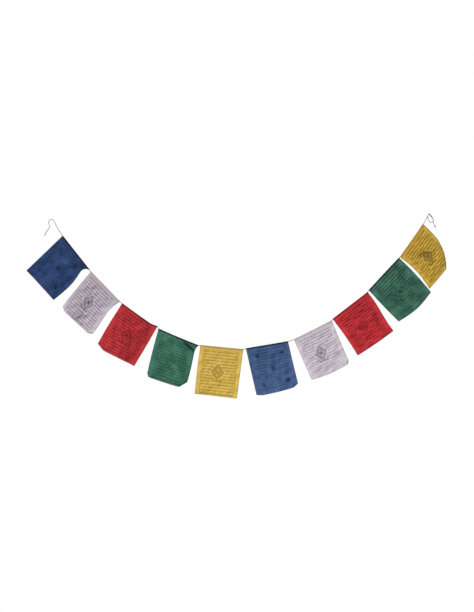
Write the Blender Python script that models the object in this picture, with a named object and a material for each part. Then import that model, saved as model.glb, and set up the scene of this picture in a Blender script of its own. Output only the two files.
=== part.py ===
"""A string of ten printed cotton prayer flags, hanging in a shallow curve between two pins.

Each flag is one cut of cloth whose top edge is folded back over the string and sewn down.
The origin is where the string passes over its left pin, +Z is up and the flags face -Y.
The tables are in millimetres and the model is in metres.
"""
import math

import bpy
import bmesh
from mathutils import Vector

MM = 0.001

STRING_RADIUS = 0.9
STRING_SIDES_RESOLUTION = 2
STRING_SLACK_IN_HEM = 0.3
STRING_LONGEST_STEP = 47.0
STRING_WIDEST_TURN = math.radians(24)
CURVE_STEPS = 24
KNOT_NEAREST_RING = 1.0

CLOTH = 1.0
TUNNEL_CLEARANCE = 0.4
TUNNEL_SIDES = 8
HEM_DEPTH = 9.0
HEM_STEP = 0.8

# Columns and rows of a flag's sheet, and how strongly they crowd towards its edges. A corner
# that rolls over a long line takes the even one.
EDGE_GRID = (12, 12, 0.6)
EVEN_GRID = (20, 18, 0.0)
LONG_ROLL = 80.0
SLOPE_STEP = 0.004
SHARP_EDGE = math.radians(50)

# The waves across a flag grow from nothing at its hem to their whole depth at its bottom.
WAVE_GROWTH = 1.5

# The string's route: what starts at each point is a free end, a flag's hem or a bare gap.
ROUTE_COLUMNS = ("x", "y", "z", "starts")
ROUTE_ROWS = (
    (-23.0, 0.0, -54.0, "left tail"),
    (-15.0, 0.0, -39.5, "left tail"),
    (-6.0, 0.0, -26.0, "left tail"),
    (-9.0, 0.0, -12.0, "left tail"),
    (-7.0, 0.0, -3.5, "left tail"),
    (0.0, 0.0, 0.0, "left pin"),
    (7.0, 0.0, -4.5, "left rise"),
    (19.0, 0.0, -26.0, "left rise"),
    (36.8, 0.0, -54.4, "flag_01_blue"),
    (126.0, 0.0, -167.5, "gap"),
    (130.2, 0.0, -173.2, "flag_02_white"),
    (226.0, 0.0, -272.0, "gap"),
    (233.0, 0.0, -278.0, "flag_03_red"),
    (327.8, 0.0, -345.6, "flag_03_red"),
    (349.6, 0.0, -353.9, "gap"),
    (353.6, 0.0, -361.3, "flag_04_green"),
    (485.7, 0.0, -416.9, "gap"),
    (491.8, 0.0, -416.3, "flag_05_yellow"),
    (633.2, 0.0, -429.4, "gap"),
    (641.8, 0.0, -427.0, "flag_06_blue"),
    (781.0, 0.0, -403.1, "gap"),
    (800.0, 0.0, -397.0, "flag_07_white"),
    (925.4, 0.0, -333.8, "gap"),
    (928.3, 0.0, -329.9, "flag_08_red"),
    (1043.7, 0.0, -240.5, "gap"),
    (1047.8, 0.0, -234.5, "flag_09_green"),
    (1147.6, 0.0, -127.3, "gap"),
    (1150.6, 0.0, -125.0, "flag_10_yellow"),
    (1227.7, 0.0, -14.8, "right rise"),
    (1240.0, 1.2, 7.0, "right rise"),
    (1246.0, 1.3, 17.0, "right pin"),
    (1253.0, 1.3, 9.5, "round turn"),
    (1260.5, 1.3, -3.5, "round turn"),
    (1253.5, 0.4, -11.0, "round turn"),
    (1241.8, -1.2, 4.5, "round turn"),
    (1246.0, -1.3, 18.0, "right pin again"),
    (1254.0, -1.3, 10.5, "right tail"),
    (1260.0, -1.3, -2.0, "right tail"),
    (1260.5, -1.3, -10.5, "right tail"),
    (1268.0, -0.5, -27.5, "end knot"),
)

# The knot at the right end: the string's radius at distances back from its tip.
KNOT_COLUMNS = ("from_tip", "radius")
KNOT_ROWS = (
    (7.6, 0.9),
    (6.6, 1.7),
    (5.2, 2.3),
    (3.8, 2.1),
    (2.6, 1.0),
    (0.0, 0.8),
)

# A flag's lower corners and edges, seen from the front along its own hem: right and down.
FLAG_COLUMNS = (
    "name", "cloth",
    "left_drop", "left_shift", "left_bow",
    "right_drop", "right_shift", "right_bow", "right_sway", "notch", "notch_at",
    "bottom_bow", "waves", "wave_phase", "wave_depth", "belly",
)
FLAG_ROWS = (
    ("flag_01_blue", "blue", 165, 16, 0, 155, 4, 2, 0, 16, 21, -1, 1.2, 0.4, 3.5, 2.0),
    ("flag_02_white", "white", 154.5, 18, -1.5, 147.5, 14, -6.5, -3.5, 0, 20, 0, 1.3, 2.6, 4.0, -2.0),
    ("flag_03_red", "red", 167, 6, -2, 151, 7, 1, 0, 0, 20, 0, 1.1, 1.2, 3.5, 2.5),
    ("flag_04_green", "green", 160, 24.5, -1.5, 148, 15.5, 0, 0, 7, 24, 2, 1.4, 4.0, 4.0, 3.0),
    ("flag_05_yellow", "yellow", 160.5, -4.3, -1.5, 163, -6, 0, 0, 0, 20, 0, 1.0, 5.3, 2.0, 1.0),
    ("flag_06_blue", "blue", 161.5, 9, 0, 151.5, 10, -0.5, 0, 0, 20, 2, 1.2, 0.9, 3.0, -2.5),
    ("flag_07_white", "white", 145, -7, 0, 151.5, -10.5, -1, 0, 0, 20, 6, 1.3, 3.3, 3.5, 2.0),
    ("flag_08_red", "red", 145, -8, 2.5, 153, -11, 1, 1.5, 0, 20, 2, 1.1, 5.0, 3.5, -2.0),
    ("flag_09_green", "green", 142, -8, -1.5, 154, -11, 3, 0, 0, 20, 9, 1.0, 1.9, 3.0, 3.0),
    ("flag_10_yellow", "yellow", 139.5, -30, 8, 151, -27, 0, 0, 0, 20, 1, 1.2, 3.9, 3.0, 2.5),
)

# Lower corners that roll away to the back, with where the roll cuts the bottom and the side.
CURL_COLUMNS = ("name", "side", "along", "up", "bulge", "radius")
CURL_ROWS = (
    ("flag_02_white", "left", 13, 8, 0, 6),
    ("flag_02_white", "right", 13, 9, 0, 6),
    ("flag_03_red", "left", 25, 12, 0, 7),
    ("flag_04_green", "right", 21, 23, 0, 8),
    ("flag_04_green", "left", 6, 8, 0, 6),
    ("flag_06_blue", "right", 16, 9, 0, 6),
    ("flag_06_blue", "left", 14, 5, 0, 5),
    ("flag_07_white", "right", 5, 9, 0, 5),
    ("flag_10_yellow", "right", 50, 100, 10, 7),
)

# Soft creases across the cloth, from one place to another, both as right and down.
CREASE_COLUMNS = ("name", "from_right", "from_down", "to_right", "to_down", "height", "spread")
CREASE_ROWS = (
    ("flag_01_blue", 128, 18, 60, 62, 5.0, 9),
    ("flag_03_red", 118, 12, 78, 60, 3.0, 10),
    ("flag_04_green", 36, 12, 140, 28, 5.0, 6),
    ("flag_08_red", 10, 60, 60, 120, 4.0, 12),
    ("flag_10_yellow", 20, 30, 84, 96, -3.0, 12),
)

# Base colour, roughness and metallic value of each cloth and of the string.
FINISHES = {
    "blue": ((0.030, 0.065, 0.190), 0.9, 0.0),
    "white": ((0.520, 0.470, 0.550), 0.9, 0.0),
    "red": ((0.480, 0.022, 0.030), 0.9, 0.0),
    "green": ((0.028, 0.140, 0.085), 0.9, 0.0),
    "yellow": ((0.600, 0.380, 0.060), 0.9, 0.0),
    "string": ((0.250, 0.245, 0.235), 0.85, 0.0),
}


def rows_of(columns, rows):
    return [dict(zip(columns, row)) for row in rows]


def finish(name):
    colour, roughness, metallic = FINISHES[name]
    material = bpy.data.materials.new(name)
    material.use_nodes = True
    shader = material.node_tree.nodes["Principled BSDF"]
    shader.inputs["Base Color"].default_value = (*colour, 1.0)
    shader.inputs["Roughness"].default_value = roughness
    shader.inputs["Metallic"].default_value = metallic
    return material


def smooth_piece(p0, p1, p2, p3, steps):
    """Points from p1 towards p2 on a centripetal curve through all four."""
    t1 = math.sqrt((p1 - p0).length)
    t2 = t1 + math.sqrt((p2 - p1).length)
    t3 = t2 + math.sqrt((p3 - p2).length)
    points = []
    for step in range(steps):
        t = t1 + (t2 - t1) * step / steps
        a1 = p0.lerp(p1, t / t1)
        a2 = p1.lerp(p2, (t - t1) / (t2 - t1))
        a3 = p2.lerp(p3, (t - t2) / (t3 - t2))
        b1 = a1.lerp(a2, t / t2)
        b2 = a2.lerp(a3, (t - t1) / (t3 - t1))
        points.append(b1.lerp(b2, (t - t1) / (t2 - t1)))
    return points


def string_line(route):
    """The string's centre line in millimetres, and the index in it of each route point.

    A sewn hem is stiff, so the string lies straighter in it than in the gaps between hems.
    """
    places = [Vector((row["x"], row["y"], row["z"])) for row in route]
    before = places[0] * 2 - places[1]
    after = places[-1] * 2 - places[-2]
    guide = [before, *places, after]
    line = [places[0]]
    at_route = [0]
    for index in range(1, len(places)):
        dense = smooth_piece(*guide[index - 1:index + 3], CURVE_STEPS) + [places[index]]
        if route[index - 1]["starts"].startswith("flag"):
            straight = [places[index - 1].lerp(places[index], step / CURVE_STEPS)
                        for step in range(CURVE_STEPS + 1)]
            dense = [a.lerp(b, STRING_SLACK_IN_HEM) for a, b in zip(straight, dense)]
        heading = dense[1] - dense[0]
        for here, following in zip(dense[1:-1], dense[2:]):
            step = (here - line[-1]).length
            turn = heading.angle(following - here)
            if step > STRING_LONGEST_STEP or turn > STRING_WIDEST_TURN:
                line.append(here)
                heading = following - here
        line.append(places[index])
        at_route.append(len(line) - 1)
    return line, at_route


def lengths_along(line):
    total = [0.0]
    for a, b in zip(line, line[1:]):
        total.append(total[-1] + (b - a).length)
    return total


def place_along(line, totals, distance):
    """The point and the heading at a distance along a line of straight runs."""
    index = 1
    while index < len(line) - 1 and totals[index] < distance:
        index += 1
    share = (distance - totals[index - 1]) / (totals[index] - totals[index - 1])
    return line[index - 1].lerp(line[index], share), (line[index] - line[index - 1]).normalized()


def make_string(line):
    curve = bpy.data.curves.new("string", "CURVE")
    curve.dimensions = "3D"
    curve.resolution_u = 1
    curve.bevel_depth = STRING_RADIUS * MM
    curve.bevel_resolution = STRING_SIDES_RESOLUTION
    curve.use_fill_caps = True
    knot = rows_of(KNOT_COLUMNS, KNOT_ROWS)
    totals = lengths_along(line)
    rings = [(place, STRING_RADIUS) for place, length in zip(line, totals)
             if totals[-1] - length > knot[0]["from_tip"] + KNOT_NEAREST_RING]
    rings += [(place_along(line, totals, totals[-1] - row["from_tip"])[0], row["radius"])
              for row in knot]
    spline = curve.splines.new("POLY")
    spline.points.add(len(rings) - 1)
    for point, (place, radius) in zip(spline.points, rings):
        point.co = (*(place * MM), 1.0)
        point.radius = radius / STRING_RADIUS
    string = bpy.data.objects.new("string", curve)
    bpy.context.collection.objects.link(string)
    curve.materials.append(finish("string"))


def crowded(share, crowding):
    """A share from 0 to 1, moved towards its nearer end, so that steps are finest there."""
    return share - crowding * math.sin(2 * math.pi * share) / (2 * math.pi)


def column_shares(columns, crowding, totals):
    """Shares across a flag, one of them at each place where the string bends in its hem."""
    shares = [crowded(column / columns, crowding) for column in range(columns + 1)]
    for total in totals[1:-1]:
        bend = total / totals[-1]
        nearest = min(range(1, columns), key=lambda column: abs(shares[column] - bend))
        shares[nearest] = bend
    return shares


def side_edge(down, drop, shift, bow, sway=0.0, notch=0.0, notch_at=1.0):
    """A side edge, as right and down of its upper corner, at a share of the way down."""
    depth = drop * down
    scoop = notch * depth / notch_at * math.exp(1.0 - depth / notch_at)
    right = shift * down + bow * math.sin(math.pi * down) + sway * math.sin(2 * math.pi * down)
    return Vector((right - scoop, depth))


def roll_back(place, curl):
    """Rolls what lies past a line through two edge points to the back, without stretching it."""
    across_line = (place - curl["middle"]).dot(curl["outward"])
    along_line = (place - curl["middle"]).dot(curl["line"]) / curl["half"]
    radius = curl["radius"]
    past = across_line - curl["bulge"] * (1.0 - along_line ** 2) + radius
    if past <= 0:
        return place, 0.0
    angle = past / radius
    if angle < math.pi:
        reach = radius * math.sin(angle)
        depth = radius * (1.0 - math.cos(angle))
    else:
        reach = math.pi * radius - past
        depth = 2.0 * radius
    return place + curl["outward"] * (reach - past), depth


def crease_depth(place, crease):
    start = Vector((crease["from_right"], crease["from_down"]))
    run = Vector((crease["to_right"], crease["to_down"])) - start
    share = (place - start).dot(run) / run.length_squared
    if not 0.0 < share < 1.0:
        return 0.0
    away = (place - start - run * share).length
    return crease["height"] * math.sin(math.pi * share) * math.exp(-(away / crease["spread"]) ** 2)


class Cloth:
    """A flag's middle surface, which turns shares across and down into a place in the world."""

    def __init__(self, flag, hem):
        self.flag = flag
        self.hem = hem
        self.totals = lengths_along(hem)
        self.width = (hem[-1] - hem[0]).length
        self.right = (hem[-1] - hem[0]).normalized()
        self.down = Vector((self.right.z, 0.0, -self.right.x))
        self.curls = [self.curl_line(curl) for curl in rows_of(CURL_COLUMNS, CURL_ROWS)
                      if curl["name"] == flag["name"]]
        self.creases = [crease for crease in rows_of(CREASE_COLUMNS, CREASE_ROWS)
                        if crease["name"] == flag["name"]]

    def on_string(self, across):
        return place_along(self.hem, self.totals, across * self.totals[-1])

    def left_edge(self, down):
        flag = self.flag
        return side_edge(down, flag["left_drop"], flag["left_shift"], flag["left_bow"])

    def right_edge(self, down):
        flag = self.flag
        edge = side_edge(down, flag["right_drop"], flag["right_shift"], flag["right_bow"],
                         flag["right_sway"], flag["notch"], flag["notch_at"])
        return Vector((self.width, 0.0)) + edge

    def bottom_edge(self, across):
        bow = Vector((0.0, self.flag["bottom_bow"] * math.sin(math.pi * across)))
        return self.left_edge(1.0).lerp(self.right_edge(1.0), across) + bow

    def curl_line(self, curl):
        """The line that a corner rolls over, which bulges outwards between its two ends."""
        left = curl["side"] == "left"
        corner = self.left_edge(1.0) if left else self.right_edge(1.0)
        other = self.right_edge(1.0) if left else self.left_edge(1.0)
        top = Vector((0.0, 0.0)) if left else Vector((self.width, 0.0))
        along_end = corner + (other - corner).normalized() * curl["along"]
        up_end = corner + (top - corner).normalized() * curl["up"]
        line = (up_end - along_end).normalized()
        outward = Vector((line.y, -line.x))
        if outward.dot(corner - along_end) < 0:
            outward.negate()
        return {"middle": (along_end + up_end) / 2, "line": line, "outward": outward,
                "half": (up_end - along_end).length / 2,
                "bulge": curl["bulge"], "radius": curl["radius"]}

    def flat_place(self, across, down):
        """The place in the flag's own plane, blended from its four edges."""
        on_string = self.on_string(across)[0] - self.hem[0]
        top = Vector((on_string.dot(self.right), on_string.dot(self.down)))
        top_right = Vector((self.width, 0.0))
        bottom_left = self.left_edge(1.0)
        bottom_right = self.right_edge(1.0)
        between_ends = top * (1 - down) + self.bottom_edge(across) * down
        between_sides = self.left_edge(down).lerp(self.right_edge(down), across)
        corners = (top_right * across * (1 - down)
                   + bottom_left.lerp(bottom_right, across) * down)
        return between_ends + between_sides - corners

    def place(self, across, down):
        flag = self.flag
        flat = self.flat_place(across, down)
        wave = math.sin(2 * math.pi * flag["waves"] * across + flag["wave_phase"])
        depth = flag["wave_depth"] * wave * down ** WAVE_GROWTH
        depth -= flag["belly"] * math.sin(math.pi * across) * math.sin(math.pi * down)
        depth -= sum(crease_depth(flat, crease) for crease in self.creases)
        for curl in self.curls:
            flat, roll = roll_back(flat, curl)
            depth += roll
        spot = self.hem[0] + self.right * flat.x + self.down * flat.y
        spot.y += depth
        return spot

    def front_normal(self, across, down):
        ends = (max(across - SLOPE_STEP, 0.0), min(across + SLOPE_STEP, 1.0))
        tops = (max(down - SLOPE_STEP, 0.0), min(down + SLOPE_STEP, 1.0))
        sideways = self.place(ends[1], down) - self.place(ends[0], down)
        downward = self.place(across, tops[1]) - self.place(across, tops[0])
        return downward.cross(sideways).normalized()

    def section(self, across, rows, crowding):
        """The tunnel round the string and the pairs of front and back points below it."""
        centre, heading = self.on_string(across)
        below = Vector((heading.z, 0.0, -heading.x))
        behind = Vector((0.0, 1.0, 0.0))
        half_side = math.pi / TUNNEL_SIDES
        bore_radius = (STRING_RADIUS + TUNNEL_CLEARANCE) / math.cos(half_side)
        wall_radius = bore_radius + CLOTH / math.cos(half_side)
        bore = []
        wall = []
        for side in range(TUNNEL_SIDES):
            angle = (2 * side + 1) * half_side
            direction = below * math.cos(angle) + behind * math.sin(angle)
            bore.append(centre + direction * bore_radius)
            wall.append(centre + direction * wall_radius)
        hem_share = HEM_DEPTH / self.flag["left_drop"]
        under_hem = (HEM_DEPTH + HEM_STEP) / self.flag["left_drop"]
        levels = [(hem_share, -CLOTH)]
        levels += [(under_hem + (1 - under_hem) * crowded(row / rows, crowding), 0.0)
                   for row in range(rows + 1)]
        pairs = []
        for down, back in levels:
            middle = self.place(across, down)
            normal = self.front_normal(across, down)
            pairs.append((middle + normal * CLOTH, middle + normal * back))
        return bore, wall, pairs


def make_flag(flag, hem):
    """One closed sheet: the folded hem round the string, then the single cloth below it."""
    cloth = Cloth(flag, hem)
    rolled = any(2 * curl["half"] > LONG_ROLL for curl in cloth.curls)
    columns, rows, crowding = EVEN_GRID if rolled else EDGE_GRID
    mesh = bmesh.new()
    sections = []
    for across in column_shares(columns, crowding, cloth.totals):
        bore, wall, pairs = cloth.section(across, rows, crowding)
        bore = [mesh.verts.new(p * MM) for p in bore]
        wall = [mesh.verts.new(p * MM) for p in wall]
        pairs = [[mesh.verts.new(p * MM) for p in pair] for pair in pairs]
        pairs.insert(0, [wall[-1], wall[0]])
        sections.append((bore, wall, pairs))
    for (bore_a, wall_a, pairs_a), (bore_b, wall_b, pairs_b) in zip(sections, sections[1:]):
        for side in range(TUNNEL_SIDES):
            mesh.faces.new((bore_a[side - 1], bore_a[side], bore_b[side], bore_b[side - 1]))
            if side:
                mesh.faces.new((wall_a[side - 1], wall_a[side], wall_b[side], wall_b[side - 1]))
        for face in (0, 1):
            for level in range(len(pairs_a) - 1):
                mesh.faces.new((pairs_a[level][face], pairs_a[level + 1][face],
                                pairs_b[level + 1][face], pairs_b[level][face]))
        mesh.faces.new((*pairs_a[-1], *reversed(pairs_b[-1])))
    for bore, wall, pairs in (sections[0], sections[-1]):
        for side in range(TUNNEL_SIDES):
            mesh.faces.new((bore[side - 1], bore[side], wall[side], wall[side - 1]))
        for upper, lower in zip(pairs, pairs[1:]):
            mesh.faces.new((upper[0], upper[1], lower[1], lower[0]))
    bmesh.ops.recalc_face_normals(mesh, faces=mesh.faces)
    data = bpy.data.meshes.new(flag["name"])
    mesh.to_mesh(data)
    mesh.free()
    data.shade_smooth()
    data.set_sharp_from_angle(angle=SHARP_EDGE)
    data.materials.append(bpy.data.materials.get(flag["cloth"]) or finish(flag["cloth"]))
    piece = bpy.data.objects.new(flag["name"], data)
    bpy.context.collection.objects.link(piece)


def hem_line(route, line, at_route, name):
    """The run of the string's line that lies inside one flag's hem."""
    inside = [index for index, row in enumerate(route) if row["starts"] == name]
    return line[at_route[inside[0]]:at_route[inside[-1] + 1] + 1]


def make_part():
    for old in list(bpy.data.objects):
        bpy.data.objects.remove(old)
    route = rows_of(ROUTE_COLUMNS, ROUTE_ROWS)
    line, at_route = string_line(route)
    make_string(line)
    for flag in rows_of(FLAG_COLUMNS, FLAG_ROWS):
        make_flag(flag, hem_line(route, line, at_route, flag["name"]))


make_part()
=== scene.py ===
# Ten block-printed cotton flags, hemmed round a twisted string that hangs between two points.
# All lengths are in metres. The string's route and the flags' edges are those of the solids.
# Each flag here is thin cloth with an open hem, stitches, fine wrinkles, a weave and a print.
import math

import bmesh
import bpy
import numpy as np
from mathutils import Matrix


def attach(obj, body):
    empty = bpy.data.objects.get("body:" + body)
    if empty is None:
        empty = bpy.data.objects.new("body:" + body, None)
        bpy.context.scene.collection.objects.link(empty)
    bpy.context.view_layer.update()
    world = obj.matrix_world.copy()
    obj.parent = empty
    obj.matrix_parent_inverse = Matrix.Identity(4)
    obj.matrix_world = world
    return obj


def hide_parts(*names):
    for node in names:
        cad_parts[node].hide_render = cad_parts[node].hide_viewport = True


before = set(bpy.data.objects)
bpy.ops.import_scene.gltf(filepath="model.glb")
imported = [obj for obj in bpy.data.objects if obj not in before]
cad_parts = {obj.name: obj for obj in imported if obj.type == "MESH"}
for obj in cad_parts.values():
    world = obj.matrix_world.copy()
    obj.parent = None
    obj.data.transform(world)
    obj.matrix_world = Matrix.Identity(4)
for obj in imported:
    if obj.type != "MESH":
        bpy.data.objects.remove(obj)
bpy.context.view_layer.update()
bpy.ops.object.select_all(action="DESELECT")
behind = np.array((0.0, 1.0, 0.0))
fullTurn = 2 * math.pi
millimetres = 1000  # in a metre


# camera, light and floor

picture = {
    "centre": (0.6125, 0.0, -0.2861),  # shown in the middle of the picture
    "height": 2.0196,  # of what the picture shows, at the flags
    "lens": 100.0,
    "sensor": 36.0,
}
lighting = {
    "sky": 0.38,  # light from all round
    "backdrop": 1.0,  # what the camera sees behind the flags
    "keyFrom": (-0.95, -1.0, 1.05),  # seen from the flags
    "keyStrength": 3.65,
    "keySoftness": math.radians(9),
}
floorShape = {
    "middle": (0.62, -0.25),
    "size": (2.6, 1.5),
    "height": -1.46,
    "corner": 0.12,
    "cornerSteps": 12,
    "tone": 0.82,
    "roughness": 0.8,
}


def linkNew(name, data):
    made = bpy.data.objects.new(name, data)
    bpy.context.scene.collection.objects.link(made)
    return made


def addCamera():
    lensData = bpy.data.cameras.new("camera")
    lensData.lens = picture["lens"]
    lensData.sensor_width = picture["sensor"]
    camera = linkNew("camera", lensData)
    away = picture["height"] * picture["lens"] / picture["sensor"]
    camera.location = np.array(picture["centre"]) - behind * away
    camera.rotation_euler = (math.radians(90), 0, 0)
    bpy.context.scene.camera = camera


def addLight():
    scene = bpy.context.scene
    scene.view_settings.view_transform = "Standard"
    scene.world = bpy.data.worlds.new("white")
    scene.world.use_nodes = True
    nodes = scene.world.node_tree.nodes
    sky = nodes["Background"]
    sky.inputs["Color"].default_value = (1, 1, 1, 1)
    seen = nodes.new("ShaderNodeLightPath")
    strength = nodes.new("ShaderNodeMapRange")
    strength.inputs["To Min"].default_value = lighting["sky"]
    strength.inputs["To Max"].default_value = lighting["backdrop"]
    links = scene.world.node_tree.links
    links.new(seen.outputs["Is Camera Ray"], strength.inputs["Value"])
    links.new(strength.outputs["Result"], sky.inputs["Strength"])

    keyData = bpy.data.lights.new("key", "SUN")
    keyData.energy = lighting["keyStrength"]
    keyData.angle = lighting["keySoftness"]
    key = linkNew("key", keyData)
    x, y, z = lighting["keyFrom"]
    key.location = (x, y, z)
    key.rotation_euler = (math.atan2(math.hypot(x, y), z), 0, math.atan2(-y, -x) - math.pi / 2)


def addFloor():
    x, y = floorShape["middle"]
    bpy.ops.mesh.primitive_plane_add(size=1, location=(x, y, floorShape["height"]))
    floor = bpy.context.object
    floor.name = "floor"
    floor.scale = (*floorShape["size"], 1)
    bpy.ops.object.transform_apply(location=True, scale=True)
    rounding = floor.modifiers.new("corners", "BEVEL")
    rounding.affect = "VERTICES"
    rounding.width = floorShape["corner"]
    rounding.segments = floorShape["cornerSteps"]
    bpy.ops.object.modifier_apply(modifier="corners")
    paper = bpy.data.materials.new("paleFloor")
    paper.use_nodes = True
    surface = paper.node_tree.nodes["Principled BSDF"]
    surface.inputs["Base Color"].default_value = (*[floorShape["tone"]] * 3, 1)
    surface.inputs["Roughness"].default_value = floorShape["roughness"]
    floor.data.materials.append(paper)


addCamera()
addLight()
addFloor()
print("camera, light and floor are in place")


# meshes from rows and columns of points


def unit(vectors):
    return vectors / np.linalg.norm(vectors, axis=-1, keepdims=True)


def gridMesh(name, points, spread, wrapped=False):
    # points is rows by columns; spread is the same for the map, with one more column if wrapped.
    rows, columns = points.shape[:2]
    places = np.arange(rows * columns).reshape(rows, columns)
    if wrapped:
        places = np.concatenate((places, places[:, :1]), axis=1)
    marks = np.arange(spread.shape[0] * spread.shape[1]).reshape(spread.shape[:2])

    def corners(index):
        around = (index[:-1, :-1], index[1:, :-1], index[1:, 1:], index[:-1, 1:])
        return np.stack(around, axis=-1).reshape(-1, 4)

    mesh = bpy.data.meshes.new(name)
    mesh.from_pydata(points.reshape(-1, 3).tolist(), [], corners(places).tolist())
    chart = mesh.uv_layers.new(name="chart")
    chart.uv.foreach_set("vector", spread.reshape(-1, 2)[corners(marks)].astype(np.float32).ravel())
    mesh.shade_smooth()
    return linkNew(name, mesh)


def closeEnds(piece):
    shell = bmesh.new()
    shell.from_mesh(piece.data)
    ends = [edge for edge in shell.edges if edge.is_boundary]
    bmesh.ops.holes_fill(shell, edges=ends)
    bmesh.ops.recalc_face_normals(shell, faces=shell.faces)
    shell.to_mesh(piece.data)
    shell.free()


def tube(name, centres, radii, sides, turn=0.0, outline=None, sideHint=behind):
    # A ring round each centre, turned a little more at each one, so that strands wind along it.
    headings = unit(np.gradient(centres, axis=0))
    across = unit(sideHint - headings * (headings @ sideHint)[:, None])
    upward = np.cross(across, headings)
    angles = fullTurn * np.arange(sides) / sides
    shape = np.ones(sides) if outline is None else outline(angles)
    turned = angles[None, :] + np.broadcast_to(turn, len(centres))[:, None]
    reach = (np.broadcast_to(radii, len(centres))[:, None] * shape)[..., None]
    rings = (centres[:, None] + reach * np.cos(turned)[..., None] * across[:, None]
             + reach * np.sin(turned)[..., None] * upward[:, None])
    lengths = lengthsAlong(centres)
    around = np.arange(sides + 1) / sides
    spread = np.stack(np.broadcast_arrays(lengths[:, None], around[None, :]), axis=-1)
    piece = gridMesh(name, rings, spread, wrapped=True)
    closeEnds(piece)
    return piece


def lengthsAlong(line):
    steps = np.linalg.norm(np.diff(line, axis=0), axis=1)
    return np.concatenate(([0.0], np.cumsum(steps)))


def placesAlong(line, distances):
    total = lengthsAlong(line)
    return np.stack([np.interp(distances, total, line[:, axis]) for axis in range(3)], axis=-1)


def smoothStep(low, high, value):
    share = np.clip((value - low) / (high - low), 0, 1)
    return share * share * (3 - 2 * share)


# the string

stringShape = {
    "radius": 0.0009,
    "bulge": 1.12,  # how far the plies stand out past that
    "plies": 3,
    "lay": 0.0062,  # length of one full turn of the plies
    "sides": 18,
    "ringStep": 0.0008,
    "slackInHem": 0.3,  # a sewn hem keeps the string straighter than a gap does
    "stepsPerRun": 60,
    "blunt": 0.0006,  # over which a cut end rounds off
    "tip": 0.02,  # how far it has rounded off at its very tip, as a share of that
    "groove": 0.72,  # how near the string's middle the grooves between plies reach
    "loosened": 0.035,  # of the left tail, where the plies have opened towards the cut end
    "opening": 0.4,
}
knotShape = {
    "fromTip": 0.0048,
    "size": 0.00075,
    "strand": 0.00088,
    "rings": 130,
    "sides": 18,
    "loops": (2, 3),
}
# What starts at each point is a free end, a flag's hem or a bare gap.
stringRoute = (
    (-0.023, 0, -0.054, "left tail"),
    (-0.015, 0, -0.0395, "left tail"),
    (-0.006, 0, -0.026, "left tail"),
    (-0.009, 0, -0.012, "left tail"),
    (-0.007, 0, -0.0035, "left tail"),
    (0, 0, 0, "left pin"),
    (0.007, 0, -0.0045, "left rise"),
    (0.019, 0, -0.026, "left rise"),
    (0.0368, 0, -0.0544, "01_blue"),
    (0.126, 0, -0.1675, "gap"),
    (0.1302, 0, -0.1732, "02_white"),
    (0.226, 0, -0.272, "gap"),
    (0.233, 0, -0.278, "03_red"),
    (0.3278, 0, -0.3456, "03_red"),
    (0.3496, 0, -0.3539, "gap"),
    (0.3536, 0, -0.3613, "04_green"),
    (0.4857, 0, -0.4169, "gap"),
    (0.4918, 0, -0.4163, "05_yellow"),
    (0.6332, 0, -0.4294, "gap"),
    (0.6418, 0, -0.427, "06_blue"),
    (0.781, 0, -0.4031, "gap"),
    (0.8, 0, -0.397, "07_white"),
    (0.9254, 0, -0.3338, "gap"),
    (0.9283, 0, -0.3299, "08_red"),
    (1.0437, 0, -0.2405, "gap"),
    (1.0478, 0, -0.2345, "09_green"),
    (1.1476, 0, -0.1273, "gap"),
    (1.1506, 0, -0.125, "10_yellow"),
    (1.2277, 0, -0.0148, "right rise"),
    (1.24, 0.0012, 0.007, "right rise"),
    (1.246, 0.0013, 0.017, "right pin"),
    (1.253, 0.0013, 0.0095, "round turn"),
    (1.2605, 0.0013, -0.0035, "round turn"),
    (1.2535, 0.0004, -0.011, "round turn"),
    (1.2418, -0.0012, 0.0045, "round turn"),
    (1.246, -0.0013, 0.018, "right pin again"),
    (1.254, -0.0013, 0.0105, "right tail"),
    (1.26, -0.0013, -0.002, "right tail"),
    (1.2605, -0.0013, -0.0105, "right tail"),
    (1.268, -0.0005, -0.0275, "end knot"),
)


def smoothRun(p0, p1, p2, p3, steps):
    # Points from p1 up to p2, on a centripetal curve through all four.
    t1 = math.sqrt(np.linalg.norm(p1 - p0))
    t2 = t1 + math.sqrt(np.linalg.norm(p2 - p1))
    t3 = t2 + math.sqrt(np.linalg.norm(p3 - p2))
    t = np.linspace(t1, t2, steps, endpoint=False)[:, None]
    a1 = p0 + (p1 - p0) * t / t1
    a2 = p1 + (p2 - p1) * (t - t1) / (t2 - t1)
    a3 = p2 + (p3 - p2) * (t - t2) / (t3 - t2)
    b1 = a1 + (a2 - a1) * t / t2
    b2 = a2 + (a3 - a2) * (t - t1) / (t3 - t1)
    return b1 + (b2 - b1) * (t - t1) / (t2 - t1)


def stringLine():
    # The centre line, and where each flag's hem starts and ends along its points.
    places = [np.array(row[:3], float) for row in stringRoute]
    guide = [2 * places[0] - places[1], *places, 2 * places[-1] - places[-2]]
    steps = stringShape["stepsPerRun"]
    runs = []
    hems = {}
    for index, row in enumerate(stringRoute[:-1]):
        run = smoothRun(*guide[index:index + 4], steps)
        if row[3][0].isdigit():
            share = np.arange(steps)[:, None] / steps
            straight = places[index] + (places[index + 1] - places[index]) * share
            run = straight + (run - straight) * stringShape["slackInHem"]
            first = hems.get(row[3], (index * steps,))[0]
            hems[row[3]] = (first, (index + 1) * steps)
        runs.append(run)
    return np.concatenate((*runs, places[-1:])), hems


def plyOutline(angles):
    # Three round plies that touch each other, as a distance from the string's middle.
    width = fullTurn / stringShape["plies"]
    ply = 1 / (1 + 1 / math.sin(width / 2))
    middle = 1 - ply
    off = (angles + width / 2) % width - width / 2
    bulging = middle * np.cos(off) + np.sqrt(np.maximum(ply ** 2 - (middle * np.sin(off)) ** 2, 0))
    return np.maximum(bulging, stringShape["groove"])


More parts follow.
